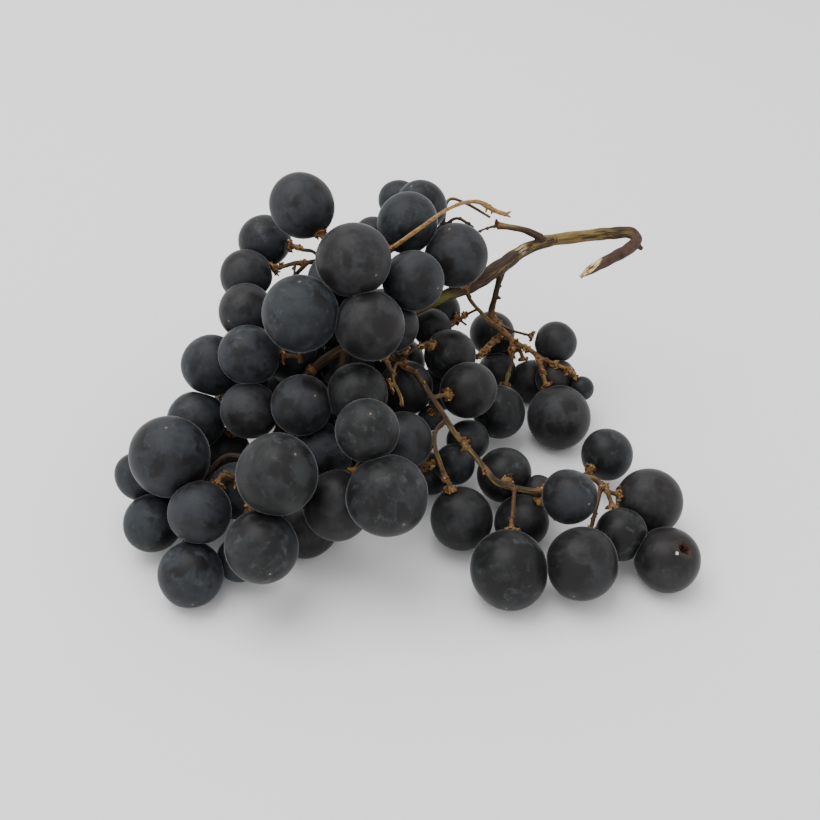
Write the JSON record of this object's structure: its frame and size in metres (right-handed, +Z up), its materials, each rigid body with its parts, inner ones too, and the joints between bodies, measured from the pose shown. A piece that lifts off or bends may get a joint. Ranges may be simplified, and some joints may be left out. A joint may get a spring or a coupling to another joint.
{
  "type": "bunch of grapes",
  "caption": "Bunch of dark table grapes lying on its side: round bloomy berries on a branched woody stalk with a hooked, slant-cut peduncle and a dried tendril.",
  "frame": {"origin": "middle of the bounding box on the surface that the bunch lies on", "axes": "+X to the right and +Y to the back as the bunch is seen from its front, +Z up"},
  "size_m": [0.1896, 0.1498, 0.0981],
  "materials": {
    "stalk": "dry, streaked olive brown bark with a pale cut end",
    "dried_tendril": "dry, amber brown",
    "berries_lone_shoulder": "blue-black skin with a patchy grey-blue wax bloom",
    "berries_shoulder": "blue-black skin with a patchy grey-blue wax bloom",
    "berries_crown": "blue-black skin with a patchy grey-blue wax bloom",
    "berries_top": "blue-black skin with a patchy grey-blue wax bloom",
    "berries_upper_left": "blue-black skin with a patchy grey-blue wax bloom",
    "berries_left_tip": "blue-black skin with a patchy grey-blue wax bloom",
    "berries_front_left": "blue-black skin with a patchy grey-blue wax bloom",
    "berries_front": "blue-black skin with a patchy grey-blue wax bloom",
    "berries_middle": "blue-black skin with a patchy grey-blue wax bloom",
    "berries_low_middle": "blue-black skin with a patchy grey-blue wax bloom",
    "berries_heart": "blue-black skin with a patchy grey-blue wax bloom",
    "berries_inner": "blue-black skin with a patchy grey-blue wax bloom",
    "berries_back": "blue-black skin with a patchy grey-blue wax bloom",
    "berries_right": "blue-black skin with a patchy grey-blue wax bloom",
    "berries_beside_wing": "blue-black skin with a patchy grey-blue wax bloom",
    "berries_wing_middle": "blue-black skin with a patchy grey-blue wax bloom",
    "berries_wing_end": "blue-black skin with a patchy grey-blue wax bloom",
    "berries_lone_under_peduncle": "blue-black skin with a patchy grey-blue wax bloom",
    "berries_lone_front": "blue-black skin with a patchy grey-blue wax bloom",
    "berries_lone_wing": "blue-black skin with a patchy grey-blue wax bloom",
    "berries_lone_wing_tip": "blue-black skin with a patchy grey-blue wax bloom"
  },
  "bodies": {
    "root": {"stalk": "stalk", "dried_tendril": "dried_tendril", "berries_lone_shoulder": "berries_lone_shoulder", "berries_shoulder": "berries_shoulder", "berries_crown": "berries_crown", "berries_top": "berries_top", "berries_upper_left": "berries_upper_left", "berries_left_tip": "berries_left_tip", "berries_front_left": "berries_front_left", "berries_front": "berries_front", "berries_middle": "berries_middle", "berries_low_middle": "berries_low_middle", "berries_heart": "berries_heart", "berries_inner": "berries_inner", "berries_back": "berries_back", "berries_right": "berries_right", "berries_beside_wing": "berries_beside_wing", "berries_wing_middle": "berries_wing_middle", "berries_wing_end": "berries_wing_end", "berries_lone_under_peduncle": "berries_lone_under_peduncle", "berries_lone_front": "berries_lone_front", "berries_lone_wing": "berries_lone_wing", "berries_lone_wing_tip": "berries_lone_wing_tip"}
  },
  "joints": []
}
